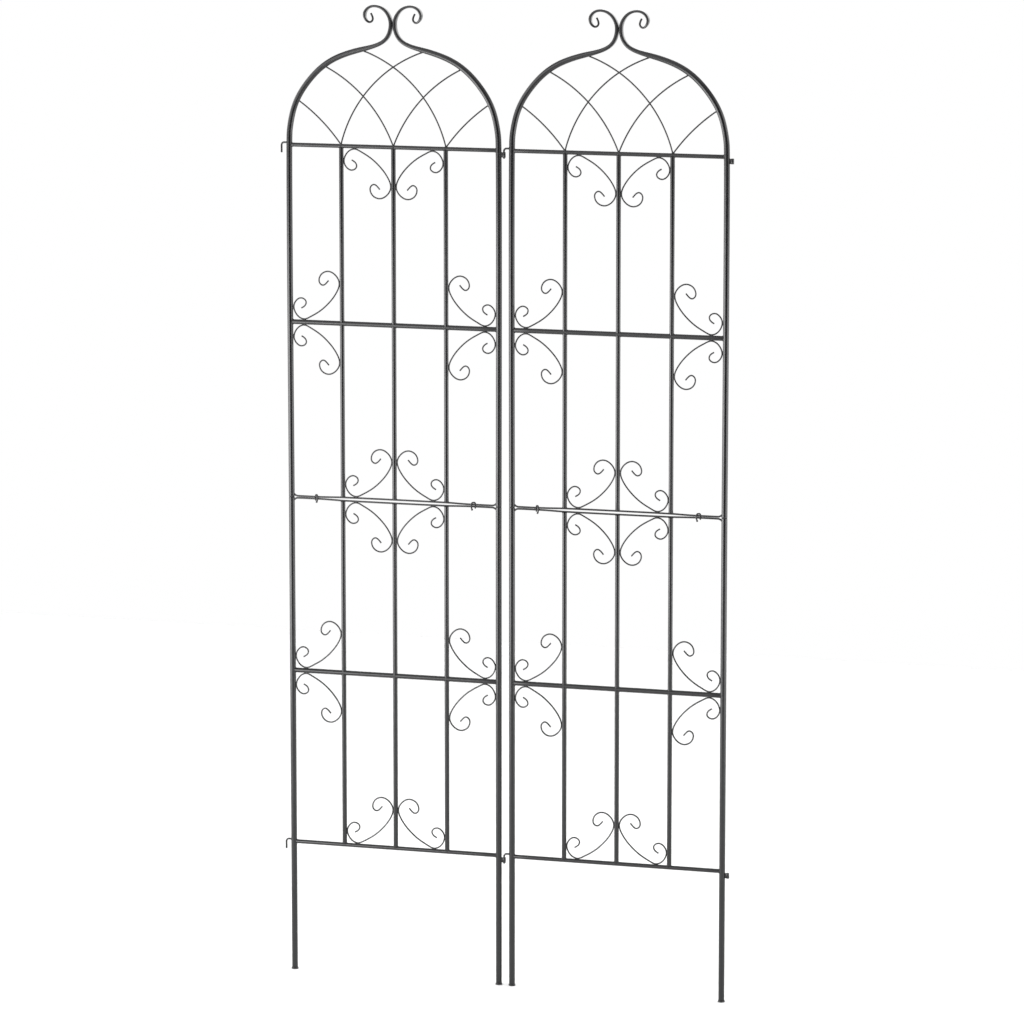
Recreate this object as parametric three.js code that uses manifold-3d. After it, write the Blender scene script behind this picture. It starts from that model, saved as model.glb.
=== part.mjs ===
// A pair of garden trellis panels with arched tops, hooked to each other along one edge.
// Millimetres, +Z up. Both panels stand in the plane Y = 0 and face -Y.

import * as THREE from 'three'
import { mergeVertices } from 'three/addons/utils/BufferGeometryUtils.js'
import Module from 'manifold-3d'

const wasm = await Module()
wasm.setup()

// ---- Driving dimensions ----

const gap = 0.3 // between pieces that are welded or plugged together
const weldSink = 0.7 // how deep a scroll sits into the rail that carries it
const rootInset = 4 // from a post's axis to where a piece starts before it is cut to the post
const overrun = 2 // past the end of a plugged-in piece, or into the piece it is joined to

const panelWidth = 488 // between the axes of a panel's two posts
const postX = panelWidth / 2
const bay = panelWidth / 4
const bottomRailZ = 298
const railPitch = 396.5
const lowerCrossZ = bottomRailZ + railPitch
const jointZ = bottomRailZ + 2 * railPitch
const upperCrossZ = bottomRailZ + 3 * railPitch
const topRailZ = bottomRailZ + 4 * railPitch
const archRise = 8 // from the top rail's axis to where the arch starts to bend

const postRadius = 6.75
const barRadius = 5.2
const barNeckRadius = 3.4 // where a bar runs through a cross rail
const endRailRadius = 4.75
const crossRailRadius = 5.6
const rodRadius = 2.1
const scrollRadius = 1.7
const latticeRadius = 1.75
const hookRadius = 2.3
const clipRadius = 1.8

const spigotRadius = 5.2
const spigotLength = 38
const plugFlangeRadius = 7.9
const plugFlangeHeight = 4
const plugShankLength = 18
const plugChamfer = 1

const eyeOffset = 12.5 // from the post's axis to the eye's
const eyeRadius = 4
const eyeBoreRadius = 2.8
const eyeHeight = 12
const eyeDrop = 9.5 // from the rail's axis down to the eye's middle
const eyeNeckHalfDepth = 2
const eyeNeckHalfHeight = 4.5
const hookReach = 18.5 // from the post's axis to the hook's leg
const hookArmRise = 4.75
const hookBend = 6
const hookDrop = 18

const railEndX = postX - rootInset
const rodPinch = rodRadius + gap / 2 // height of a joint rod off the joint where the clips pinch it
const rodSpread = 3.65
const rodEndRise = 5.4
const clipX = 185

const panelStep = panelWidth + eyeOffset + hookReach
const leftReach = hookReach + hookRadius
const rightReach = eyeOffset + eyeRadius
const leftPanelX = (leftReach - rightReach - panelStep) / 2 // centres the pair on X = 0

const postSides = 10
const barSides = 8
const eyeSides = 12
const hookSides = 12
const wireSides = 6
const fineWireSides = 5
const stileSteps = 2 // between each point of the outline and the next
const hookSteps = 2
const clipSteps = 3
const mergeTolerance = 1e-4

const powderCoat = { color: 0x1d1d1f, roughness: 0.42, metalness: 0.55 }
const plugPlastic = { color: 0x111112, roughness: 0.6, metalness: 0 }

// ---- Outlines, as [x, height] points ----

// One stile from the panel's top rail up and over: [x, height above the rail, half thickness in the
// panel's plane, half thickness across it]. The tube is flattened towards the neck, curls outward
// flat, and ends in a narrow drawn-out tail.
const archPoints = [
  [-postX, archRise, postRadius, postRadius],
  [-241.9, 40.5, postRadius, postRadius],
  [-230.9, 87, postRadius, postRadius],
  [-204.8, 133.6, postRadius, postRadius],
  [-168.5, 172.3, postRadius, postRadius],
  [-126.8, 197.6, 6.6, 6.8],
  [-79.2, 213.4, 6.2, 6.9],
  [-46, 222.3, 5, 7.1],
  [-22, 233.5, 4.4, 7.3],
  [-9.4, 249, 4.3, 7.4],
  [-4.6, 268, 4.1, 7.4],
  [-6.4, 284, 3.9, 7.4],
  [-16.8, 301, 3.4, 7.4],
  [-34, 310.8, 3, 7.4],
  [-52.6, 309.4, 3, 7.4],
  [-64.4, 297, 3.1, 7.4],
  [-63.4, 283, 2.8, 6],
  [-53.8, 275.4, 2.4, 3],
  [-46.8, 281.4, 2.3, 2.4],
  [-51.2, 295.4, 2.2, 2.2],
]

// Each lattice wire is an arc of a circle: its foot on the top rail, a point on the way, its end
// on the arch.
const longArc = [[-122, 3], [-52.6, 131.5], [69.5, 211.5]]
const middleArc = [[0, 3], [-61.9, 103.4], [-156, 174.5]]
const shortArc = [[-122, 3], [-168.6, 56.5], [-224, 101]]
const arcSpans = 10

// A C-scroll from the tip of its big curl to the tip of its small one. Both numbers run from 0 to
// scrollSize: it touches one upright at x = 0, the other at x = scrollSize, and its rail at height 0.
const scrollSize = 109
const scrollPoints = [
  [83.5, 88.5], [70.5, 77.5], [62.5, 82], [61, 91], [67, 102.5], [82, 108.7], [98.5, 102], [109, 83.5],
  [101.5, 60.5], [85.5, 39.5], [61.5, 18.5], [38.5, 5], [25.5, 0], [10.5, 5.5], [0, 24.5],
  [4.5, 39.5], [17, 47], [28.5, 41], [27.5, 31.5], [18, 24.5],
]

// A joint rod's height off the joint's middle, along its length.
const rodHalf = [
  [railEndX, rodEndRise],
  [236.5, 4.8],
  [232, 2.7],
  [228, rodPinch],
  [179, rodPinch],
  [165, 2.5],
  [140, 3.2],
  [121, rodSpread],
]

// A clip's wire, as [x, y, z] from the middle of the pinched rods: from under them, up behind, over
// the top, down in front, and on into a finger tab.
const clipPoints = [
  [-2.9, 2, -6.7],
  [-3.6, 4.1, -4],
  [-3.7, 4.4, 0],
  [-3.4, 4.1, 3.6],
  [-2.2, 2, 6.3],
  [0, 0, 6.7],
  [2.2, -2, 6.3],
  [3.4, -4.1, 3.6],
  [3.7, -4.4, 0],
  [3, -4.5, -5.5],
  [1, -4.6, -10.6],
]

// ---- Shapes ----

// A curve through points whose steps are shared out between the points, not along the length, so
// that tight curls get short steps and straight runs get long ones.
class PointedCurve extends THREE.CatmullRomCurve3 {
  getUtoTmapping(u, distance) {
    return distance === undefined ? u : super.getUtoTmapping(u, distance)
  }
}

function curveThrough(points) {
  const inSpace = points.map((p) => (p.length === 3 ? new THREE.Vector3(...p) : new THREE.Vector3(p[0], 0, p[1])))
  return new PointedCurve(inSpace, false, 'centripetal')
}

// A THREE geometry as a manifold solid.
function solid(geometry) {
  geometry.deleteAttribute('normal')
  geometry.deleteAttribute('uv')
  const merged = mergeVertices(geometry, mergeTolerance)
  const vertProperties = new Float32Array(merged.attributes.position.array)
  const triVerts = new Uint32Array(merged.index.array)
  return new wasm.Manifold(new wasm.Mesh({ numProp: 3, vertProperties, triVerts }))
}

// A round bar between two points.
function bar(from, to, radius, sides = postSides) {
  const start = new THREE.Vector3(...from)
  const end = new THREE.Vector3(...to)
  const along = end.clone().sub(start)
  const geometry = new THREE.CylinderGeometry(radius, radius, along.length(), sides)
  const turn = new THREE.Quaternion().setFromUnitVectors(new THREE.Vector3(0, 1, 0), along.normalize())
  geometry.applyQuaternion(turn)
  geometry.translate(...start.add(end).multiplyScalar(0.5))
  return solid(geometry)
}

function upright(x, fromZ, toZ, radius, sides = postSides) {
  return bar([x, 0, fromZ], [x, 0, toZ], radius, sides)
}

// A wire of constant thickness along a curve, in equal steps between each point and the next.
function wire(points, radius, sides, stepsPerSpan = 1) {
  const corners = []
  for (let i = 0; i < sides; i++) {
    const angle = (2 * Math.PI * i) / sides
    corners.push(new THREE.Vector2(radius * Math.cos(angle), radius * Math.sin(angle)))
  }
  const steps = (points.length - 1) * stepsPerSpan
  const options = { steps, bevelEnabled: false, extrudePath: curveThrough(points) }
  return solid(new THREE.ExtrudeGeometry(new THREE.Shape(corners), options))
}

// A tube along a curve in the panel's plane. Each point also has two half thicknesses: the tube is
// a cylinder whose rings are moved onto the curve and stretched. extra thickens it all round.
function taperedTube(points, extra) {
  const spans = points.length - 1
  const curve = curveThrough(points.map(([x, z]) => [x, z]))
  const geometry = new THREE.CylinderGeometry(1, 1, 1, postSides, spans * stileSteps)
  const position = geometry.attributes.position
  const across = new THREE.Vector3(0, 1, 0)
  for (let i = 0; i < position.count; i++) {
    const t = THREE.MathUtils.clamp(position.getY(i) + 0.5, 0, 1)
    const span = Math.min(Math.floor(t * spans), spans - 1)
    const blend = t * spans - span
    const [, , thinHere, deepHere] = points[span]
    const [, , thinNext, deepNext] = points[span + 1]
    const thin = THREE.MathUtils.lerp(thinHere, thinNext, blend) + extra
    const deep = THREE.MathUtils.lerp(deepHere, deepNext, blend) + extra
    const inPlane = curve.getTangent(t).cross(across)
    const place = curve.getPoint(t)
    place.addScaledVector(inPlane, position.getX(i) * thin)
    place.addScaledVector(across, position.getZ(i) * deep)
    position.setXYZ(i, place.x, place.y, place.z)
  }
  return solid(geometry)
}

// A profile of [radius, height] points turned about the Z axis.
function revolved(profile) {
  const outline = profile.map(([radius, height]) => new THREE.Vector2(radius, height))
  return solid(new THREE.LatheGeometry(outline, postSides).rotateX(Math.PI / 2))
}

function mirrored(points, side) {
  return points.map(([x, ...rest]) => [x * side, ...rest])
}

// ---- Pieces of one panel, in the panel's own frame ----

// side is -1 on the left and 1 on the right.

function post(side, extra) {
  return upright(side * postX, 0, topRailZ + archRise, postRadius + extra)
}

function bothPosts(extra) {
  return post(-1, extra).add(post(1, extra))
}

function stileTube(side, extra = 0) {
  const start = [-postX, jointZ - topRailZ, postRadius, postRadius]
  const points = [start, ...archPoints].map(([x, height, ...thickness]) => [x, height + topRailZ, ...thickness])
  const left = taperedTube(points, extra)
  return side < 0 ? left : left.mirror([1, 0, 0])
}

function stile(side) {
  const socketTop = jointZ + spigotLength + overrun
  const socket = upright(side * postX, jointZ - gap, socketTop, spigotRadius + gap)
  return stileTube(side).subtract(socket)
}

function leg(side) {
  const x = side * postX
  const foot = plugFlangeHeight + gap
  const top = jointZ - gap
  const bore = upright(x, 0, foot + plugShankLength + overrun, spigotRadius + gap)
  const spigot = upright(x, top - overrun, jointZ + spigotLength, spigotRadius)
  return upright(x, foot, top, postRadius).add(spigot).subtract(bore)
}

function plug() {
  const profile = [
    [0, 0],
    [plugFlangeRadius - plugChamfer, 0],
    [plugFlangeRadius, plugChamfer],
    [plugFlangeRadius - plugChamfer / 2, plugFlangeHeight],
    [spigotRadius, plugFlangeHeight],
    [spigotRadius, plugFlangeHeight + plugShankLength],
    [0, plugFlangeHeight + plugShankLength],
  ]
  return revolved(profile)
}

function rail(z, radius) {
  return bar([-railEndX, 0, z], [railEndX, 0, z], radius)
}

// The scrolls on one rail. inner picks the two middle bays, otherwise the two outer ones; up is 1
// above the rail and -1 below it. The small curl is always on the side away from the panel's middle.
function scrollPair(railZ, railRadius, inner, up) {
  const outerX = inner ? -bay : -2 * bay
  const outerRadius = inner ? barRadius : postRadius
  const clearance = scrollRadius + gap
  const smallSide = outerX + outerRadius + clearance
  const bigSide = outerX + bay - barRadius - clearance
  const stretch = (bigSide - smallSide) / scrollSize
  const base = railZ + up * (railRadius + scrollRadius - weldSink)
  const points = scrollPoints.map(([x, height]) => [smallSide + x * stretch, base + up * height])
  const left = wire(points, scrollRadius, fineWireSides)
  return left.add(left.mirror([1, 0, 0]))
}

function endRail(z, up) {
  return rail(z, endRailRadius).subtract(bothPosts(gap)).add(scrollPair(z, endRailRadius, true, up))
}

function crossRail(z) {
  const radius = crossRailRadius
  let piece = rail(z, radius).subtract(bothPosts(gap))
  for (const x of [-bay, 0, bay]) {
    piece = piece.subtract(upright(x, z - 2 * radius, z + 2 * radius, barNeckRadius + gap, barSides))
  }
  return piece.add(scrollPair(z, radius, false, 1)).add(scrollPair(z, radius, false, -1))
}

// up is 1 for the rod that ends the upper section and -1 for the one that starts the lower section.
function jointRod(up) {
  const rightHalf = rodHalf.map(([x, rise]) => [x, jointZ + up * rise])
  const leftHalf = mirrored(rightHalf, -1).reverse()
  const rod = wire([...rightHalf, ...leftHalf], rodRadius, wireSides)
  return rod.subtract(bothPosts(gap)).add(scrollPair(jointZ + up * rodSpread, rodRadius, true, up))
}

// A bar that stands on a joint rod or hangs from one. It is necked down through the cross rail and
// coped to the end rail.
function sectionBar(x, crossZ, railZ, up) {
  const rodEnd = jointZ + up * (rodSpread + rodRadius + gap)
  const cope = rail(railZ, endRailRadius + gap).add(rail(crossZ, crossRailRadius + gap))
  const [low, high] = [rodEnd, railZ].sort((a, b) => a - b)
  const neck = upright(x, crossZ - 2 * crossRailRadius, crossZ + 2 * crossRailRadius, barNeckRadius, barSides)
  return upright(x, low, high, barRadius, barSides).subtract(cope).add(neck)
}

// Points along the arc of a circle from a through b to c.
function arcThrough([ax, az], [bx, bz], [cx, cz]) {
  const [a2, b2, c2] = [ax ** 2 + az ** 2, bx ** 2 + bz ** 2, cx ** 2 + cz ** 2]
  const scale = 2 * (ax * (bz - cz) + bx * (cz - az) + cx * (az - bz))
  const x = (a2 * (bz - cz) + b2 * (cz - az) + c2 * (az - bz)) / scale
  const z = (a2 * (cx - bx) + b2 * (ax - cx) + c2 * (bx - ax)) / scale
  const radius = Math.hypot(ax - x, az - z)
  const [from, to] = [Math.atan2(az - z, ax - x), Math.atan2(cz - z, cx - x)]
  const points = []
  for (let i = 0; i <= arcSpans; i++) {
    const angle = from + ((to - from) * i) / arcSpans
    points.push([x + radius * Math.cos(angle), z + radius * Math.sin(angle)])
  }
  return points
}

function latticeWire(arc) {
  const raised = arcThrough(...arc).map(([x, height]) => [x, height + topRailZ])
  return wire(raised, latticeRadius, fineWireSides)
}

function lattice() {
  const leaning = latticeWire(longArc).add(latticeWire(middleArc)).add(latticeWire(shortArc))
  const clear = stileTube(-1, gap).add(stileTube(1, gap)).add(rail(topRailZ, endRailRadius + gap))
  return leaning.add(leaning.mirror([1, 0, 0])).subtract(clear)
}

function eye(railZ) {
  const middle = railZ - eyeDrop
  const x = postX + eyeOffset
  const neckFrom = postX + rootInset
  const neck = new THREE.BoxGeometry(x - neckFrom, 2 * eyeNeckHalfDepth, 2 * eyeNeckHalfHeight)
  neck.translate((x + neckFrom) / 2, 0, middle)
  const sleeve = upright(x, middle - eyeHeight / 2, middle + eyeHeight / 2, eyeRadius, eyeSides)
  const bore = upright(x, middle - eyeHeight, middle + eyeHeight, eyeBoreRadius, eyeSides)
  return sleeve.add(solid(neck)).subtract(bore).subtract(post(1, gap))
}

function hook(railZ) {
  const legX = -postX - hookReach
  const armZ = railZ + hookArmRise
  const bendInset = hookBend * (1 - Math.SQRT1_2)
  const points = [
    [-postX - rootInset, armZ],
    [legX + hookBend, armZ],
    [legX + bendInset, armZ - bendInset],
    [legX, armZ - hookBend],
    [legX, armZ - 2 * hookBend],
    [legX, railZ - hookDrop],
  ]
  return wire(points, hookRadius, hookSides, hookSteps).subtract(post(-1, gap))
}

function clip() {
  return wire(clipPoints, clipRadius, wireSides, clipSteps)
}

// ---- Assembly ----

function named(name, manifold, finish) {
  const { vertProperties, triVerts, numProp } = manifold.getMesh()
  const geometry = new THREE.BufferGeometry()
  const positions = new Float32Array((vertProperties.length / numProp) * 3)
  for (let i = 0; i < positions.length / 3; i++) {
    positions.set(vertProperties.subarray(i * numProp, i * numProp + 3), i * 3)
  }
  geometry.setAttribute('position', new THREE.BufferAttribute(positions, 3))
  geometry.setIndex(new THREE.BufferAttribute(new Uint32Array(triVerts), 1))
  const mesh = new THREE.Mesh(geometry, new THREE.MeshStandardMaterial(finish))
  mesh.name = name
  return mesh
}

function panel(name) {
  const group = new THREE.Group()
  const add = (piece, manifold, finish = powderCoat) => {
    const mesh = named(`${name}_${piece}`, manifold, finish)
    group.add(mesh)
    return mesh
  }

  for (const [hand, side] of [['left', -1], ['right', 1]]) {
    add(`stile_${hand}`, stile(side))
    add(`leg_${hand}`, leg(side))
    add(`foot_plug_${hand}`, plug(), plugPlastic).position.x = side * postX
    const clipMesh = add(`clip_${hand}`, side < 0 ? clip() : clip().mirror([1, 0, 0]))
    clipMesh.position.set(side * clipX, 0, jointZ)
  }

  add('top_rail', endRail(topRailZ, -1))
  add('upper_cross_rail', crossRail(upperCrossZ))
  add('upper_joint_rod', jointRod(1))
  add('lower_joint_rod', jointRod(-1))
  add('lower_cross_rail', crossRail(lowerCrossZ))
  add('bottom_rail', endRail(bottomRailZ, 1))

  for (const [index, x] of [-bay, 0, bay].entries()) {
    add(`upper_bar_${index + 1}`, sectionBar(x, upperCrossZ, topRailZ, 1))
    add(`lower_bar_${index + 1}`, sectionBar(x, lowerCrossZ, bottomRailZ, -1))
  }

  add('lattice', lattice())
  for (const [level, z] of [['top', topRailZ], ['bottom', bottomRailZ]]) {
    add(`eye_${level}`, eye(z))
    add(`hook_${level}`, hook(z))
  }
  return group
}

const trellis = new THREE.Group()
for (const [name, x] of [['left', leftPanelX], ['right', leftPanelX + panelStep]]) {
  const group = panel(name)
  group.position.x = x
  trellis.add(group)
}

export default trellis
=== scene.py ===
"""Looks for a pair of arched garden trellis panels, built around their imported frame. Metres, +Z up.

Outlines are written in millimetres in one panel's own frame, whose X = 0 is the panel's middle, and
become metres in the row frame when a mesh is made.
"""

import math

import bpy
import numpy as np
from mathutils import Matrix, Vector, noise


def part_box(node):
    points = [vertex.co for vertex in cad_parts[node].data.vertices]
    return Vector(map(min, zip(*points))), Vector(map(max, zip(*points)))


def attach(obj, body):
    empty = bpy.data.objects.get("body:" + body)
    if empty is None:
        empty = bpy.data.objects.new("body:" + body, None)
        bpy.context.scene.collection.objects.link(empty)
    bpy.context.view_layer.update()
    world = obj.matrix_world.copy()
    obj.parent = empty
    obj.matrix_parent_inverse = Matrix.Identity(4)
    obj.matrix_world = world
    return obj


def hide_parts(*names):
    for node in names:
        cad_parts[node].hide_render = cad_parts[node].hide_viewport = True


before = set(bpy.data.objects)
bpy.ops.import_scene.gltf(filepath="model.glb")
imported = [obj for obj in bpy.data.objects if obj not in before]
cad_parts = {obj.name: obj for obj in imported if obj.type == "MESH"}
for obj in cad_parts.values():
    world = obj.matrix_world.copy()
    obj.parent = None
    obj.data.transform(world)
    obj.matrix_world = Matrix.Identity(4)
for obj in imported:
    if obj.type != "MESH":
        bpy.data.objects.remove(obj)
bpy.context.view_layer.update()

# ---- Sizes, in millimetres ----

METRE = 1000.0

POST_RADIUS = 6.75
BAR_RADIUS = 5.2
END_RAIL_RADIUS = 4.75
CROSS_RAIL_RADIUS = 5.6
ROD_RADIUS = 2.1
SCROLL_RADIUS = 1.7
LATTICE_RADIUS = 1.75
HOOK_RADIUS = 2.15
CLIP_RADIUS = 1.8
CLIP_TIP_SWELL = 0.25  # share by which a clip's tip is thicker
CLIP_TIP_LENGTH = 4.5

PLUG_RADIUS = 7.85
PLUG_FLANGE = 4.0
SPIGOT_RADIUS = 5.2
SPIGOT_BELOW = 1.0  # what is built of a spigot, below and above the joint
SPIGOT_ABOVE = 2.0

EYE_OFFSET = 12.5  # from the post's axis to the eye's
EYE_RADIUS = 3.9
EYE_BORE_RADIUS = 2.8
EYE_NECK_HALF_DEPTH = 2.0
EYE_NECK_HALF_HEIGHT = 4.5
EYE_NECK_SQUARENESS = 5.0
EYE_NECK_ROOT = 1.0  # how far the neck starts inside the post
EYE_NECK_TIP = 0.4  # and how far it stops short of the bore
EYE_NECK_ROWS = 6
HOOK_REACH = 18.5  # from the post's axis to the hook's leg
HOOK_RISE = 4.75
HOOK_BEND = 6.0
HOOK_DROP = 18.0
HOOK_ROOT = 1.0  # how far the wire starts inside the post
HOOK_STRAIGHT = 3.0  # from the root, and from the end of the bend, to the path's next point
HOOK_EDGE = 0.8  # rounding of its ends

ROD_SPREAD = 3.65  # from the joint's middle to a rod's axis, between the outer bars
SEAM = 0.15  # half the gap at the joint between a stile and its leg
SINK = 0.4  # how far welded wires sit into what they touch
EDGE = 0.4  # rounding of a cut end
SEAM_EDGE = 0.8  # rounding of the tube ends that meet at the joint
CLIP_EDGE = 1.2  # rounding of a clip's ends
TUBE_SINK = 1.5  # how far a rail or bar runs into the tube it is welded to
NARROWEST = 0.02  # half thickness left at a rounded end
STEEP = 0.9  # share of a path's direction along Y above which its sections are laid out from X

# Where the tube is deeper than it is thin, its section goes from round towards a rounded oblong:
# corner power for each whole excess of depth, and the largest excess counted.
FLATTENED_SQUARENESS = 2.2
FLATTENED_MOST = 1.2

# How finely things are meshed: faces round, and millimetres or rows along.
POST_SIDES = 32
ROUND_SIDES = 28
WIRE_SIDES = 14
HOOK_SIDES = 20
CLIP_SIDES = 18
PLUG_SIDES = 40
EYE_SIDES = 36
ARC_POINTS = 25
HOOK_BEND_POINTS = 9
END_ROWS = 5  # round the edge of a cut end
END_CLEARANCE = 1.05  # how far from a cut end other rows start, in roundings of its edge
TACK_SIDES = 10
TACK_ROWS = 13
COLLAR_SIDES = 9
COLLAR_ROWS = 48
STRAIGHT_STEP = 40.0
POST_STEP = 3.0
ROD_STEP = 4.0
WIRE_STEP = 2.0
SCROLL_STEP = 1.6
HOOK_STEP = 0.8
CLIP_STEP = 0.8
LATTICE_STEP = 0.5  # between the points that weld beads are placed by

# Weld beads that run round a tube's root, by their radius.
RAIL_BEAD = 0.9
BAR_BEAD = 0.8
CROSSING_BEAD = 0.75
HOOK_BEAD = 0.8

BEAD_INSET = 0.2  # small shift of a bead from the edge it closes
BEAD_TOUCH = 0.7  # how far off a scroll wire's axis its bead sits, as a share of its radius
RIPPLE = 0.1  # share of a bead's thickness
UNEVENNESS = 0.14
UNEVEN_RATE = 0.7  # noise along a bead, for each ripple
SEED_SPACING = 3.1  # noise from one bead to the next
BEAD_RIPPLES = 12  # along a bead round a tube's root
TACK_RIPPLES = 2.5  # along half of a short bead
TACK_FULLNESS = 0.8  # power of its outline: 1 is an ellipse, and less is blunter
TACK_TIP = 0.05  # half thickness at its ends
TACK_EDGE = 0.04

# Short weld beads, as (length, radius).
ROD_TACK = (5.5, 2.1)
BAR_TACK = (4.5, 1.1)
SCROLL_TACK = (6.5, 1.35)
LATTICE_TACK = (5.5, 1.8)
LATTICE_CROSSING_TACK = (4.6, 1.9)
LATTICE_BEAD_DEPTH = [1, 0.4, 1]  # a bead sits nearer the panel's plane than its wire
LATTICE_FOOT_RISE = END_RAIL_RADIUS - 2.6
LATTICE_END_BEAD = 10  # points back from a wire's end to its bead
LATTICE_END_SPAN = 12  # points back from the end that the bead's direction is taken over
EYE_POST_TACK = (5, 1.5)
EYE_SLEEVE_TACK = (4, 1.0)
EYE_SLEEVE_BEAD_LOWER = 0.3  # nearer the neck's middle than the bead on the post

# ---- Outlines ----

# From the top rail up and over: [x, height above the rail, half thickness in the panel's plane,
# half thickness across it]. The tube is flattened at the neck and in the curl, and drawn out at
# the tail.
ARCH = [
    [-244, 8, POST_RADIUS, POST_RADIUS],
    [-241.9, 40.5, POST_RADIUS, POST_RADIUS],
    [-230.9, 87, POST_RADIUS, POST_RADIUS],
    [-204.8, 133.6, POST_RADIUS, POST_RADIUS],
    [-168.5, 172.3, POST_RADIUS, POST_RADIUS],
    [-126.8, 197.6, 6.6, 6.8],
    [-79.2, 213.4, 6.2, 6.9],
    [-46, 222.3, 5, 7.1],
    [-22, 233.5, 4.4, 7.3],
    [-9.4, 249, 4.3, 7.4],
    [-4.6, 268, 4.1, 7.4],
    [-6.4, 284, 3.9, 7.4],
    [-16.8, 301, 3.4, 7.4],
    [-34, 310.4, 3, 7.4],
    [-52.6, 309, 3, 7.4],
    [-64.4, 297, 3.1, 7.4],
    [-63.4, 283, 2.8, 6],
    [-53.8, 275.4, 2.4, 3],
    [-46.8, 281.4, 2.3, 2.4],
    [-51.2, 295.4, 2.2, 2.2],
]

# Each lattice wire is an arc of a circle: its foot, a point on the way, its end on the arch.
LATTICE = [
    [[-122, 3], [-52.6, 131.5], [69.5, 211.5]],
    [[0, 3], [-61.9, 103.4], [-156, 174.5]],
    [[-122, 3], [-168.6, 56.5], [-224, 101]],
]

# A C-scroll from the tip of its big curl to the tip of its small one: [across the bay, off the
# rail].
SCROLL_SIZE = 109
SCROLL = [
    [83.5, 88.5], [70.5, 77.5], [62.5, 82], [61, 91], [67, 102.5], [82, 108.7], [98.5, 102],
    [109, 83.5], [101.5, 60.5], [85.5, 39.5], [61.5, 18.5], [38.5, 5], [25.5, 0], [10.5, 5.5],
    [0, 24.5], [4.5, 39.5], [17, 47], [28.5, 41], [27.5, 31.5], [18, 24.5],
]
SCROLL_BIG_TOUCH = [109, 83.5]
SCROLL_SMALL_TOUCH = [0, 24.5]
SCROLL_RAIL_TOUCH = [25.5, 0]

# A joint rod's height off the joint's middle, from the post to the outer bar.
ROD_HALF = [
    [240, 5.4],
    [236.5, 4.7],
    [232, 2.7],
    [228, 2.3],
    [222, 2.25],
    [186, 2.25],
    [179, 2.28],
    [165, 2.5],
    [140, 3.2],
    [121, ROD_SPREAD],
]

# A clip's wire, from the middle of the pinched rods: from under them, up behind, over the top and
# down in front.
CLIP = [
    [-2.9, 2, -6.7],
    [-3.6, 4.1, -4],
    [-3.7, 4.4, 0],
    [-3.4, 4.1, 3.6],
    [-2.2, 2, 6.3],
    [0, 0, 6.7],
    [2.2, -2, 6.3],
    [3.4, -4.1, 3.6],
    [3.7, -4.4, 0],
    [3, -4.5, -5.5],
    [1, -4.6, -10.6],
]

# Half of a foot plug's section, from the ground up into the leg: [radius, height].
PLUG = [
    [PLUG_RADIUS - 1.3, 0],
    [PLUG_RADIUS - 0.7, 0.15],
    [PLUG_RADIUS - 0.2, 0.6],
    [PLUG_RADIUS, 1.2],
    [PLUG_RADIUS - 0.25, PLUG_FLANGE - 0.5],
    [PLUG_RADIUS - 0.7, PLUG_FLANGE],
    [SPIGOT_RADIUS, PLUG_FLANGE],
    [SPIGOT_RADIUS, PLUG_FLANGE + 2],
]

# ---- Curves ----


def spline(points, step):
    """A natural cubic spline through the points, sampled about every step. Columns past the third
    are thicknesses, and go straight from point to point."""
    table = np.array(points, float)
    places = table[:, :3]
    lengths = np.linalg.norm(np.diff(places, axis=0), axis=1)
    gaps = np.sqrt(lengths)
    count = len(places)
    matrix = np.eye(count)
    target = np.zeros((count, 3))
    for i in range(1, count - 1):
        matrix[i, i - 1 : i + 2] = [gaps[i - 1], 2 * (gaps[i - 1] + gaps[i]), gaps[i]]
        after = (places[i + 1] - places[i]) / gaps[i]
        before = (places[i] - places[i - 1]) / gaps[i - 1]
        target[i] = 6 * (after - before)
    bend = np.linalg.solve(matrix, target)
    rows = []
    for i in range(count - 1):
        steps = max(1, math.ceil(lengths[i] / step))
        for s in np.arange(steps) / steps:
            near, far = 1 - s, s
            curve = ((near**3 - near) * bend[i] + (far**3 - far) * bend[i + 1]) * gaps[i] ** 2 / 6
            place = near * places[i] + far * places[i + 1] + curve
            rows.append(np.append(place, near * table[i, 3:] + far * table[i + 1, 3:]))
    rows.append(table[-1])
    return np.array(rows)


def arc(first, middle, last, count=ARC_POINTS):
    """Points along the arc of a circle from first through middle to last."""
    points = np.array([first, middle, last], float)
    squares = (points**2).sum(axis=1)
    (ax, az), (bx, bz), (cx, cz) = points
    scale = 2 * (ax * (bz - cz) + bx * (cz - az) + cx * (az - bz))
    x = np.dot(squares, [bz - cz, cz - az, az - bz]) / scale
    z = np.dot(squares, [cx - bx, ax - cx, bx - ax]) / scale
    radius = math.hypot(ax - x, az - z)
    start, _, end = np.unwrap([math.atan2(pz - z, px - x) for px, pz in points])
    angles = np.linspace(start, end, count)
    return [[x + radius * math.cos(a), z + radius * math.sin(a)] for a in angles]


def flat(points, depth=0.0):
    """[x, height, ...] points as [x, depth, height, ...] ones."""
    return [[x, depth, height, *rest] for x, height, *rest in points]


def moved(points, x=0.0, z=0.0):
    return [[px + x, py, pz + z, *rest] for px, py, pz, *rest in points]


def mirrored(points, side):
    return [[x * side, *rest] for x, *rest in points]


# ---- Meshes: each function returns (vertices, faces) in millimetres ----


def unit(vectors):
    return vectors / np.linalg.norm(vectors, axis=-1, keepdims=True)


def transported(tangents, across):
    """A frame along the path that doesn't twist: one vector across it at each point."""
    result = []
    for tangent in tangents:
        across = unit(across - tangent * np.dot(across, tangent))
        result.append(across)
    return np.array(result)


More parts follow.
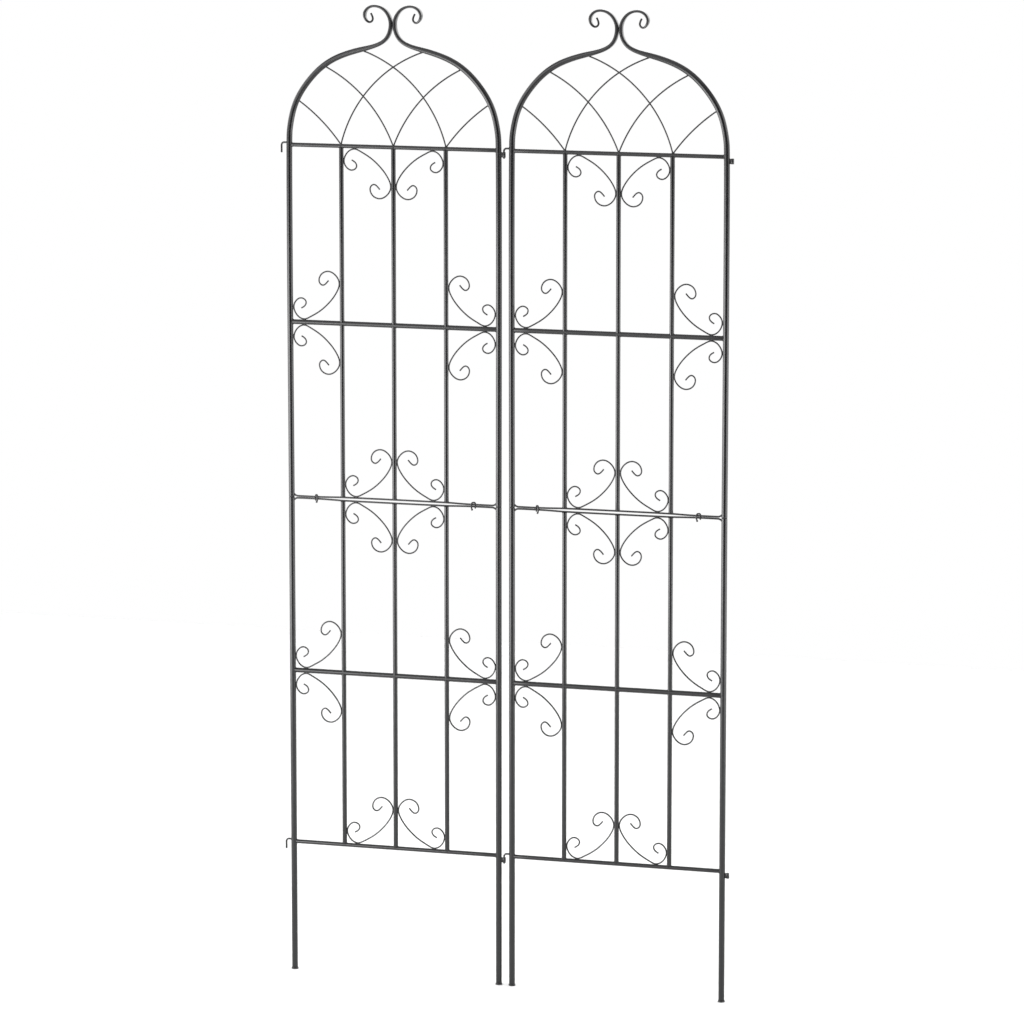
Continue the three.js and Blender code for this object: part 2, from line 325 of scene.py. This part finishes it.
def ring_faces(rings, sides, closed):
    faces = []
    for i in range(rings if closed else rings - 1):
        here = i * sides
        there = (i + 1) % rings * sides
        for k in range(sides):
            after = (k + 1) % sides
            faces.append((here + k, here + after, there + after, there + k))
    return faces


def rounded_end(place, tangent, row, rounding):
    """Rings from a path's end: the last is the flat of the cut, and its edge is rounded."""
    thin, deep = row
    rings = []
    for angle in np.linspace(0, math.pi / 2, END_ROWS):
        shrink = rounding * (1 - math.cos(angle))
        centre = place - tangent * rounding * (1 - math.sin(angle))
        rings.append((centre, max(thin - shrink, NARROWEST), max(deep - shrink, NARROWEST)))
    return rings


def swept(rows, sides, rounding=EDGE, squareness=None):
    """A tube along rows of [x, y, z, half thickness in plane, half thickness across]. squareness
    gives each row's corner power: 2 is an ellipse, and more is squarer."""
    places, halves = rows[:, :3], rows[:, 3:5]
    tangents = unit(np.gradient(places, axis=0))
    tangents[0] = unit(places[1] - places[0])
    tangents[-1] = unit(places[-1] - places[-2])
    start = np.array([0.0, 1.0, 0.0])
    if abs(tangents[0][1]) > STEEP:
        start = np.array([1.0, 0.0, 0.0])
    across = transported(tangents, start)
    from_start = np.linalg.norm(places - places[0], axis=1)
    from_end = np.linalg.norm(places - places[-1], axis=1)
    nearest = np.minimum(from_start, from_end)
    kept = [i for i in range(len(rows)) if nearest[i] > rounding * END_CLEARANCE]
    rings = []
    for centre, thin, deep in reversed(rounded_end(places[0], -tangents[0], halves[0], rounding)):
        rings.append((centre, thin, deep, 0))
    rings.extend((places[i], *halves[i], i) for i in kept)
    for centre, thin, deep in rounded_end(places[-1], tangents[-1], halves[-1], rounding):
        rings.append((centre, thin, deep, len(rows) - 1))
    angles = np.arange(sides) * 2 * math.pi / sides
    vertices = []
    for centre, thin, deep, i in rings:
        in_plane = np.cross(across[i], tangents[i])
        power = 2.0 / (squareness[i] if squareness is not None else 2.0)
        cos = np.sign(np.cos(angles)) * np.abs(np.cos(angles)) ** power
        sin = np.sign(np.sin(angles)) * np.abs(np.sin(angles)) ** power
        vertices.append(centre + np.outer(cos * thin, in_plane) + np.outer(sin * deep, across[i]))
    faces = ring_faces(len(rings), sides, False)
    faces.append(tuple(reversed(range(sides))))
    faces.append(tuple(range((len(rings) - 1) * sides, len(rings) * sides)))
    return np.concatenate(vertices), faces


def wire(points, radius, sides=WIRE_SIDES, step=WIRE_STEP, rounding=EDGE):
    path = spline(points, step)[:, :3]
    return swept(np.column_stack([path, np.full((len(path), 2), radius)]), sides, rounding)


def straight(start, end, radius, sides=ROUND_SIDES, rounding=EDGE):
    return wire([start, end], radius, sides, STRAIGHT_STEP, rounding)


def turned(profile, x, sides, closed=False):
    """[radius, height] points turned about a vertical axis."""
    angles = np.arange(sides) * 2 * math.pi / sides
    rings = [
        np.column_stack([x + r * np.cos(angles), r * np.sin(angles), np.full(sides, height)])
        for r, height in profile
    ]
    faces = ring_faces(len(profile), sides, closed)
    if not closed:
        faces.append(tuple(reversed(range(sides))))
        faces.append(tuple(range((len(profile) - 1) * sides, len(profile) * sides)))
    return np.concatenate(rings), faces


def rippled(t, seed):
    """How thick a hand-laid bead is at t along it, about 1: it ripples, and each is uneven."""
    ripple = RIPPLE * math.sin(t * 2 * math.pi)
    place = Vector((t * UNEVEN_RATE, seed * SEED_SPACING, 0.5))
    return 1 + ripple + UNEVENNESS * noise.noise(place)


def collar(centre, axis, along, radius, host_radius, bead, seed):
    """A bead round a tube where it meets the side of a thicker one. axis points out of the host,
    and along is the host's direction."""
    centre, axis, along = (np.array(v, float) for v in (centre, axis, along))
    depth = np.cross(axis, along)
    vertices = []
    for k in range(COLLAR_ROWS):
        angle = 2 * math.pi * k / COLLAR_ROWS
        out = along * math.cos(angle) + depth * math.sin(angle)
        sideways = radius * math.sin(angle)
        rise = math.sqrt(max(host_radius**2 - sideways**2, 0))
        place = centre + out * radius + axis * rise
        size = bead * rippled(k / COLLAR_ROWS * BEAD_RIPPLES, seed)
        for j in range(COLLAR_SIDES):
            turn = 2 * math.pi * j / COLLAR_SIDES
            vertices.append(place + size * (out * math.cos(turn) + axis * math.sin(turn)))
    faces = [tuple(reversed(face)) for face in ring_faces(COLLAR_ROWS, COLLAR_SIDES, True)]
    return np.array(vertices), faces


def tack(at, along, length, radius, seed):
    """A short bead: a drop of metal drawn out along the seam it closes."""
    along = unit(np.array(along, float))
    rows = []
    for t in np.linspace(-1, 1, TACK_ROWS):
        outline = math.sqrt(max(1 - t * t, 0.0)) ** TACK_FULLNESS
        size = radius * outline * rippled(t * TACK_RIPPLES, seed) + TACK_TIP
        rows.append([*(np.array(at, float) + along * t * length / 2), size, size])
    return swept(np.array(rows), TACK_SIDES, TACK_EDGE)


def merged(parts):
    vertices, faces, total = [], [], 0
    for part_vertices, part_faces in parts:
        vertices.append(part_vertices)
        faces.extend(tuple(i + total for i in face) for face in part_faces)
        total += len(part_vertices)
    return np.concatenate(vertices), faces


# ---- Materials ----

NOISE_RANGE = (0.3, 0.7)  # where most of a noise texture's values lie
COLOUR_NOISE = (35, 5)  # scale and detail
GLOSS_NOISE = (160, 4)
PEEL_DETAIL = 3
PEEL_STRENGTH = 0.12


def node(tree, kind, **values):
    made = tree.nodes.new(kind)
    for key, value in values.items():
        if key in made.inputs:
            made.inputs[key].default_value = value
        else:
            setattr(made, key, value)
    return made


def grain(tree, place, scale, detail):
    made = node(tree, "ShaderNodeTexNoise", Scale=scale, Detail=detail)
    tree.links.new(place.outputs["Object"], made.inputs["Vector"])
    return made.outputs["Fac"]


def mapped(tree, value, source, result, smooth=False):
    """value, moved from the source range to the result range."""
    made = node(tree, "ShaderNodeMapRange", interpolation_type="SMOOTHSTEP" if smooth else "LINEAR")
    for key, number in zip(("From Min", "From Max", "To Min", "To Max"), (*source, *result)):
        made.inputs[key].default_value = number
    tree.links.new(value, made.inputs["Value"])
    return made.outputs["Result"]


def coated(name, dark, light, rough, peel_scale, peel_depth):
    """A coloured surface that varies slowly, with a fine relief. rough is (low, high)."""
    material = bpy.data.materials.new(name)
    material.use_nodes = True
    tree = material.node_tree
    shader = tree.nodes["Principled BSDF"]
    place = node(tree, "ShaderNodeTexCoord")
    mix = node(tree, "ShaderNodeMix", data_type="RGBA")
    mix.inputs["A"].default_value = (*dark, 1)
    mix.inputs["B"].default_value = (*light, 1)
    tone = mapped(tree, grain(tree, place, *COLOUR_NOISE), NOISE_RANGE, (0, 1))
    tree.links.new(tone, mix.inputs["Factor"])
    tree.links.new(mix.outputs["Result"], shader.inputs["Base Color"])
    gloss = mapped(tree, grain(tree, place, *GLOSS_NOISE), NOISE_RANGE, rough)
    tree.links.new(gloss, shader.inputs["Roughness"])
    bump = node(tree, "ShaderNodeBump", Strength=PEEL_STRENGTH, Distance=peel_depth)
    tree.links.new(grain(tree, place, peel_scale, PEEL_DETAIL), bump.inputs["Height"])
    tree.links.new(bump.outputs["Normal"], shader.inputs["Normal"])
    return material


MATERIALS = {
    "powder_coat": coated(
        "satin_powder_coat",
        dark=(0.005, 0.005, 0.0055),
        light=(0.009, 0.009, 0.01),
        rough=(0.15, 0.24),
        peel_scale=900,
        peel_depth=0.0002,
    ),
    "clip_wire": coated(
        "coated_spring_wire",
        dark=(0.004, 0.004, 0.0045),
        light=(0.007, 0.007, 0.008),
        rough=(0.22, 0.32),
        peel_scale=1400,
        peel_depth=0.0001,
    ),
    "foot_plastic": coated(
        "moulded_plastic",
        dark=(0.006, 0.006, 0.006),
        light=(0.01, 0.01, 0.01),
        rough=(0.5, 0.64),
        peel_scale=1800,
        peel_depth=0.00015,
    ),
}

# ---- Pieces ----


def piece(name, shape, centre_x, body, slot, *nodes):
    vertices, faces = shape
    mesh = bpy.data.meshes.new(name)
    placed = (vertices + [centre_x, 0, 0]) / METRE
    mesh.from_pydata(placed.tolist(), [], faces)
    mesh.update()
    mesh.polygons.foreach_set("use_smooth", [len(face) == 4 for face in faces])
    mesh.materials.append(MATERIALS[slot])
    made = bpy.data.objects.new(name, mesh)
    bpy.context.scene.collection.objects.link(made)
    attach(made, body)
    if nodes:
        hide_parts(*nodes)


class Panel:
    """One panel: its sizes, read from the frame, and its pieces."""

    def __init__(self, name):
        self.name = name
        self.body = f"{name}_panel"
        left = self.middle("leg_left")
        right = self.middle("leg_right")
        self.x = (left.x + right.x) / 2
        self.post_x = (right.x - left.x) / 2
        self.bay = self.post_x / 2
        self.joint_z = (self.middle("upper_joint_rod").z + self.middle("lower_joint_rod").z) / 2
        self.top_z = self.box("top_rail")[1].z - END_RAIL_RADIUS
        self.bottom_z = self.box("bottom_rail")[0].z + END_RAIL_RADIUS
        self.upper_z = self.middle("upper_cross_rail").z
        self.lower_z = self.middle("lower_cross_rail").z
        self.beads = []
        self.seed = 0

    def box(self, node_name):
        return [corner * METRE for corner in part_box(f"{self.name}_{node_name}")]

    def middle(self, node_name):
        low, high = self.box(node_name)
        return (low + high) / 2

    def add(self, name, shape, *nodes, slot="powder_coat"):
        full_names = [f"{self.name}_{node_name}" for node_name in nodes]
        piece(f"{self.name}_{name}", shape, self.x, self.body, slot, *full_names)

    def next_seed(self):
        self.seed += 1
        return self.seed

    def collar(self, *facts):
        self.beads.append(collar(*facts, self.next_seed()))

    def tack(self, *facts):
        self.beads.append(tack(*facts, self.next_seed()))

    def flush(self, name):
        """The beads laid since the last flush, as one piece."""
        self.add(name, merged(self.beads))
        self.beads = []

    # Posts

    def stile(self, hand, side):
        foot = [-self.post_x, self.joint_z + SEAM - self.top_z, POST_RADIUS, POST_RADIUS]
        outline = flat([foot, *ARCH])
        rows = spline(mirrored(moved(outline, z=self.top_z), -side), POST_STEP)
        excess = np.clip(rows[:, 4] / rows[:, 3] - 1, 0, FLATTENED_MOST)
        squareness = 2 + FLATTENED_SQUARENESS * excess
        shape = swept(rows, POST_SIDES, SEAM_EDGE, squareness)
        self.add(f"stile_{hand}_tube", shape, f"stile_{hand}")

    def leg(self, hand, side):
        x = side * self.post_x
        foot = PLUG_FLANGE + SEAM
        top = self.joint_z - SEAM
        tube = straight([x, 0, foot], [x, 0, top], POST_RADIUS, POST_SIDES, SEAM_EDGE)
        low, high = self.joint_z - SPIGOT_BELOW, self.joint_z + SPIGOT_ABOVE
        spigot = straight([x, 0, low], [x, 0, high], SPIGOT_RADIUS)
        self.add(f"leg_{hand}_tube", merged([tube, spigot]), f"leg_{hand}")

    def foot_plug(self, hand, side):
        shape = turned(PLUG, side * self.post_x, PLUG_SIDES)
        self.add(f"foot_plug_{hand}_moulding", shape, f"foot_plug_{hand}", slot="foot_plastic")

    # Rails, rods and bars

    def rail(self, name, z, radius):
        reach = self.post_x - POST_RADIUS + TUBE_SINK
        self.add(f"{name}_tube", straight([-reach, 0, z], [reach, 0, z], radius), name)
        for side in (-1, 1):
            facts = [side * self.post_x, 0, z], [-side, 0, 0], [0, 0, 1]
            self.collar(*facts, radius, POST_RADIUS, RAIL_BEAD)

    def joint_rod(self, name, up):
        half = [[x, self.joint_z + up * rise] for x, rise in ROD_HALF]
        line = flat([*mirrored(half, -1), *reversed(half)])
        self.add(f"{name}_wire", wire(line, ROD_RADIUS, step=ROD_STEP), name)
        for side in (-1, 1):
            x = side * (self.post_x - POST_RADIUS)
            self.tack([x, 0, self.joint_z + up * ROD_HALF[0][1]], [0, 0, 1], *ROD_TACK)

    def section_bar(self, index, x, name, rail_z, up):
        rod_end = self.joint_z + up * (ROD_SPREAD + ROD_RADIUS - SINK)
        rail_end = rail_z - up * (END_RAIL_RADIUS - TUBE_SINK)
        shape = straight([x, 0, rod_end], [x, 0, rail_end], BAR_RADIUS)
        self.add(f"{name}_bar_{index}_tube", shape, f"{name}_bar_{index}")
        root = BAR_RADIUS - BEAD_INSET
        self.collar([x, 0, rail_z], [0, 0, -up], [1, 0, 0], root, END_RAIL_RADIUS, BAR_BEAD)
        for side in (-1, 1):
            at = [x + side * (BAR_RADIUS - 2 * BEAD_INSET), 0, rod_end + up * BEAD_INSET]
            self.tack(at, [0, 1, 0], *BAR_TACK)

    def pierced(self, z):
        sizes = BAR_RADIUS, CROSS_RAIL_RADIUS, CROSSING_BEAD
        for x in (-self.bay, 0, self.bay):
            for up in (-1, 1):
                self.collar([x, 0, z], [0, 0, up], [1, 0, 0], *sizes)

    # Scrolls

    def scrolls(self, rail_name, rail_z, rail_radius, inner, up):
        near = -self.bay if inner else -self.post_x
        near_radius = BAR_RADIUS if inner else POST_RADIUS
        small_side = near + near_radius + SCROLL_RADIUS - SINK
        big_side = near + self.bay - BAR_RADIUS - SCROLL_RADIUS + SINK
        stretch = (big_side - small_side) / SCROLL_SIZE
        base = rail_z + up * (rail_radius + SCROLL_RADIUS - SINK)

        def placed(point):
            return [small_side + point[0] * stretch, base + up * point[1]]

        outline = flat([placed(point) for point in SCROLL])
        where = "above" if up > 0 else "below"
        for hand, side in (("left", 1), ("right", -1)):
            shape = wire(mirrored(outline, side), SCROLL_RADIUS, step=SCROLL_STEP)
            self.add(f"scroll_{where}_{rail_name}_{hand}", shape, rail_name)
            for touch, lean, along in (
                (SCROLL_SMALL_TOUCH, -1, [0, 0, 1]),
                (SCROLL_BIG_TOUCH, 1, [0, 0, 1]),
                (SCROLL_RAIL_TOUCH, 0, [1, 0, 0]),
            ):
                x, z = placed(touch)
                x += lean * SCROLL_RADIUS * BEAD_TOUCH
                z -= up * (0 if lean else SCROLL_RADIUS * BEAD_TOUCH)
                self.tack([side * x, 0, z], along, *SCROLL_TACK)

    # Arch lattice

    def lattice(self):
        families = []
        index = 0
        for side in (-1, 1):
            depth = side * (LATTICE_RADIUS - SINK / 2)
            family = []
            for corners in LATTICE:
                index += 1
                outline = moved(flat(mirrored(arc(*corners), -side), depth), z=self.top_z)
                self.add(f"lattice_wire_{index}", wire(outline, LATTICE_RADIUS), "lattice")
                path = spline(outline, LATTICE_STEP)[:, :3]
                family.append(path)
                foot = path[0] * LATTICE_BEAD_DEPTH + [0, 0, LATTICE_FOOT_RISE]
                self.tack(foot, [1, 0, 0], *LATTICE_TACK)
                end = path[-LATTICE_END_BEAD] * LATTICE_BEAD_DEPTH
                self.tack(end, path[-1] - path[-LATTICE_END_SPAN], *LATTICE_TACK)
            families.append(family)
        for first in families[0]:
            for second in families[1]:
                gaps = np.linalg.norm(first[:, None, [0, 2]] - second[None, :, [0, 2]], axis=2)
                i, j = np.unravel_index(gaps.argmin(), gaps.shape)
                clear_of_rail = first[i][2] > self.top_z + 2 * POST_RADIUS
                if gaps[i, j] < LATTICE_RADIUS and clear_of_rail:
                    self.tack((first[i] + second[j]) / 2, [1, 0, 0], *LATTICE_CROSSING_TACK)

    # Hinge fittings

    def eye(self, level):
        low, high = self.box(f"eye_{level}")
        x = self.post_x + EYE_OFFSET
        top, bottom = high.z, low.z
        profile = [
            [EYE_BORE_RADIUS, bottom + EDGE],
            [EYE_BORE_RADIUS + EDGE, bottom],
            [EYE_RADIUS - EDGE, bottom],
            [EYE_RADIUS, bottom + EDGE],
            [EYE_RADIUS, top - EDGE],
            [EYE_RADIUS - EDGE, top],
            [EYE_BORE_RADIUS + EDGE, top],
            [EYE_BORE_RADIUS, top - EDGE],
        ]
        sleeve = turned(profile, x, EYE_SIDES, closed=True)
        middle = (top + bottom) / 2
        neck_from = self.post_x + POST_RADIUS - EYE_NECK_ROOT
        neck_to = x - EYE_BORE_RADIUS - EYE_NECK_TIP
        halves = [EYE_NECK_HALF_HEIGHT, EYE_NECK_HALF_DEPTH]
        places = np.linspace(neck_from, neck_to, EYE_NECK_ROWS)
        rows = np.array([[at, 0, middle, *halves] for at in places])
        neck = swept(rows, ROUND_SIDES, EDGE, np.full(EYE_NECK_ROWS, EYE_NECK_SQUARENESS))
        self.add(f"eye_{level}_sleeve", merged([sleeve, neck]), f"eye_{level}")
        for up in (-1, 1):
            z = middle + up * EYE_NECK_HALF_HEIGHT
            self.tack([self.post_x + POST_RADIUS + BEAD_INSET, 0, z], [0, 1, 0], *EYE_POST_TACK)
            at = [x - EYE_RADIUS - BEAD_INSET, 0, z - up * EYE_SLEEVE_BEAD_LOWER]
            self.tack(at, [0, 1, 0], *EYE_SLEEVE_TACK)

    def hook(self, level, rail_z):
        leg_x = -self.post_x - HOOK_REACH
        arm_z = rail_z + HOOK_RISE
        inset = HOOK_BEND * (1 - math.sqrt(0.5))
        bend = arc(
            [leg_x + HOOK_BEND, arm_z],
            [leg_x + inset, arm_z - inset],
            [leg_x, arm_z - HOOK_BEND],
            HOOK_BEND_POINTS,
        )
        root = [-self.post_x - POST_RADIUS + HOOK_ROOT, arm_z]
        tip = [leg_x, rail_z - HOOK_DROP]
        arm = [root[0] - HOOK_STRAIGHT, arm_z]
        leg = [leg_x, bend[-1][1] - HOOK_STRAIGHT]
        line = flat([root, arm, *bend, leg, tip])
        shape = wire(line, HOOK_RADIUS, HOOK_SIDES, HOOK_STEP, HOOK_EDGE)
        self.add(f"hook_{level}_wire", shape, f"hook_{level}")
        at = [-self.post_x, 0, arm_z]
        self.collar(at, [-1, 0, 0], [0, 0, 1], HOOK_RADIUS, POST_RADIUS, HOOK_BEAD)

    def clip(self, hand, side):
        low, high = self.box(f"clip_{hand}")
        x = (low.x + high.x) / 2 - self.x
        path = spline(moved(mirrored(CLIP, -side), x, self.joint_z), CLIP_STEP)[:, :3]
        from_tip = np.linalg.norm(path - path[-1], axis=1)
        near_tip = np.clip(1 - from_tip / CLIP_TIP_LENGTH, 0, 1)
        swell = CLIP_RADIUS * (1 + CLIP_TIP_SWELL * near_tip**0.5)
        rows = np.column_stack([path, swell, swell])
        name = f"{self.name}_clip_{hand}"
        piece(f"{name}_wire", swept(rows, CLIP_SIDES, CLIP_EDGE), self.x, name, "clip_wire", name)

    def build(self):
        for hand, side in (("left", -1), ("right", 1)):
            self.stile(hand, side)
            self.leg(hand, side)
            self.foot_plug(hand, side)
            self.clip(hand, side)
        self.rail("top_rail", self.top_z, END_RAIL_RADIUS)
        self.rail("upper_cross_rail", self.upper_z, CROSS_RAIL_RADIUS)
        self.rail("lower_cross_rail", self.lower_z, CROSS_RAIL_RADIUS)
        self.rail("bottom_rail", self.bottom_z, END_RAIL_RADIUS)
        self.joint_rod("upper_joint_rod", 1)
        self.joint_rod("lower_joint_rod", -1)
        for index, x in enumerate((-self.bay, 0, self.bay), 1):
            self.section_bar(index, x, "upper", self.top_z, 1)
            self.section_bar(index, x, "lower", self.bottom_z, -1)
        self.pierced(self.upper_z)
        self.pierced(self.lower_z)
        self.flush("rail_welds")
        self.scrolls("top_rail", self.top_z, END_RAIL_RADIUS, True, -1)
        for name, z in (("upper_cross_rail", self.upper_z), ("lower_cross_rail", self.lower_z)):
            self.scrolls(name, z, CROSS_RAIL_RADIUS, False, 1)
            self.scrolls(name, z, CROSS_RAIL_RADIUS, False, -1)
        self.scrolls("upper_joint_rod", self.joint_z + ROD_SPREAD, ROD_RADIUS, True, 1)
        self.scrolls("lower_joint_rod", self.joint_z - ROD_SPREAD, ROD_RADIUS, True, -1)
        self.scrolls("bottom_rail", self.bottom_z, END_RAIL_RADIUS, True, 1)
        self.flush("scroll_welds")
        self.lattice()
        self.flush("lattice_welds")
        for level, z in (("top", self.top_z), ("bottom", self.bottom_z)):
            self.eye(level)
            self.hook(level, z)
        self.flush("hinge_welds")


for panel_name in ("left", "right"):
    Panel(panel_name).build()

# ---- Studio ----

CAMERA_AZIMUTH = math.radians(17.42)
CAMERA_ELEVATION = math.radians(9.21)
CAMERA_DISTANCE = 11.467
CAMERA_TARGET = Vector((0.0176, 0, 1.0808))
CAMERA_LENS = 181.6  # focal length and sensor width in millimetres
CAMERA_SENSOR = 36.0
CAMERA_REACH = 100.0

FLOOR_HALF = 4.0
FLOOR_COLOUR = (0.97, 0.97, 0.97, 1)
FLOOR_ROUGHNESS = 0.9

# Lamps: metres, and watts.
SOFTBOX_ANGLE = math.radians(68)  # to either side of the camera
SOFTBOX_DISTANCE = 3.0
SOFTBOX_LEVEL = 0.75
SOFTBOX_WIDTH = 3.4
SOFTBOX_HEIGHT = 1.3
LEFT_ENERGY = 85.0
RIGHT_ENERGY = 38.0
OVERHEAD_LEVEL = 4.5
OVERHEAD_SIZE = 5.0
OVERHEAD_ENERGY = 64.0

DARK_TURN = math.radians(6)  # from the camera round to the middle of the world's dark wall

# The world's light, each as a source range and what it becomes.
SIDE_WALLS = (0.95, 0.7), (0.015, 2.9)  # away from the dark wall: strength
TOP_DIMMED = (0.7, 0.3), (0.12, 1.0)  # upward: share of that strength
BOTTOM_DIMMED = (-0.1, 0.15), (0.55, 1.0)  # downward: share of that strength


def toward(azimuth, elevation):
    """The direction at this angle round from the front of the set, and this far up."""
    level = math.cos(elevation)
    return Vector((math.sin(azimuth) * level, -math.cos(azimuth) * level, math.sin(elevation)))


def make_camera():
    data = bpy.data.cameras.new("camera")
    data.lens = CAMERA_LENS
    data.sensor_width = CAMERA_SENSOR
    data.clip_end = CAMERA_REACH
    camera = bpy.data.objects.new("camera", data)
    back = toward(CAMERA_AZIMUTH, CAMERA_ELEVATION)
    camera.location = CAMERA_TARGET + back * CAMERA_DISTANCE
    camera.rotation_mode = "QUATERNION"
    camera.rotation_quaternion = (-back).to_track_quat("-Z", "Y")
    bpy.context.scene.collection.objects.link(camera)
    bpy.context.scene.camera = camera


def make_floor():
    mesh = bpy.data.meshes.new("floor")
    h = FLOOR_HALF
    mesh.from_pydata([(-h, -h, 0), (h, -h, 0), (h, h, 0), (-h, h, 0)], [], [(0, 1, 2, 3)])
    floor = bpy.data.objects.new("floor", mesh)
    material = bpy.data.materials.new("floor")
    material.use_nodes = True
    shader = material.node_tree.nodes["Principled BSDF"]
    shader.inputs["Base Color"].default_value = FLOOR_COLOUR
    shader.inputs["Roughness"].default_value = FLOOR_ROUGHNESS
    mesh.materials.append(material)
    bpy.context.scene.collection.objects.link(floor)


def make_world():
    """A light tent: bright at the sides and back, dark towards the camera, and white to look at."""
    world = bpy.data.worlds.new("studio")
    world.use_nodes = True
    tree = world.node_tree
    bright = tree.nodes["Background"]
    place = node(tree, "ShaderNodeTexCoord")
    front = node(tree, "ShaderNodeVectorMath", operation="DOT_PRODUCT")
    front.inputs[1].default_value = toward(CAMERA_AZIMUTH + DARK_TURN, 0)
    tree.links.new(place.outputs["Generated"], front.inputs[0])
    side = mapped(tree, front.outputs["Value"], *SIDE_WALLS, smooth=True)
    axes = node(tree, "ShaderNodeSeparateXYZ")
    tree.links.new(place.outputs["Generated"], axes.inputs["Vector"])
    wall = mapped(tree, axes.outputs["Z"], *TOP_DIMMED, smooth=True)
    low = mapped(tree, axes.outputs["Z"], *BOTTOM_DIMMED, smooth=True)
    height = node(tree, "ShaderNodeMath", operation="MULTIPLY")
    tree.links.new(wall, height.inputs[0])
    tree.links.new(low, height.inputs[1])
    strength = node(tree, "ShaderNodeMath", operation="MULTIPLY")
    tree.links.new(side, strength.inputs[0])
    tree.links.new(height.outputs["Value"], strength.inputs[1])
    tree.links.new(strength.outputs["Value"], bright.inputs["Strength"])
    bright.inputs["Color"].default_value = (1, 1, 1, 1)
    white = node(tree, "ShaderNodeBackground")
    white.inputs["Color"].default_value = (1, 1, 1, 1)
    ray = node(tree, "ShaderNodeLightPath")
    mix = node(tree, "ShaderNodeMixShader")
    tree.links.new(ray.outputs["Is Camera Ray"], mix.inputs["Fac"])
    tree.links.new(bright.outputs["Background"], mix.inputs[1])
    tree.links.new(white.outputs["Background"], mix.inputs[2])
    tree.links.new(mix.outputs["Shader"], tree.nodes["World Output"].inputs["Surface"])
    bpy.context.scene.world = world


def make_lamp(name, place, target, width, height, energy):
    data = bpy.data.lights.new(name, "AREA")
    data.shape = "RECTANGLE"
    data.size = width
    data.size_y = height
    data.energy = energy
    lamp = bpy.data.objects.new(name, data)
    lamp.location = place
    lamp.rotation_mode = "QUATERNION"
    lamp.rotation_quaternion = (target - place).to_track_quat("-Z", "Y")
    lamp.visible_camera = False
    bpy.context.scene.collection.objects.link(lamp)


def make_lamps():
    """One lamp overhead, and a wide softbox on either side of the camera."""
    above = Vector((0, 0, OVERHEAD_LEVEL))
    make_lamp("overhead", above, Vector((0, 0, 0)), OVERHEAD_SIZE, OVERHEAD_SIZE, OVERHEAD_ENERGY)
    level = Vector((0, 0, SOFTBOX_LEVEL))
    for name, side, energy in (
        ("softbox_left", -1, LEFT_ENERGY),
        ("softbox_right", 1, RIGHT_ENERGY),
    ):
        place = level + toward(CAMERA_AZIMUTH + side * SOFTBOX_ANGLE, 0) * SOFTBOX_DISTANCE
        make_lamp(name, place, level, SOFTBOX_WIDTH, SOFTBOX_HEIGHT, energy)


make_camera()
make_floor()
make_world()
make_lamps()
bpy.context.scene.view_settings.view_transform = "Standard"
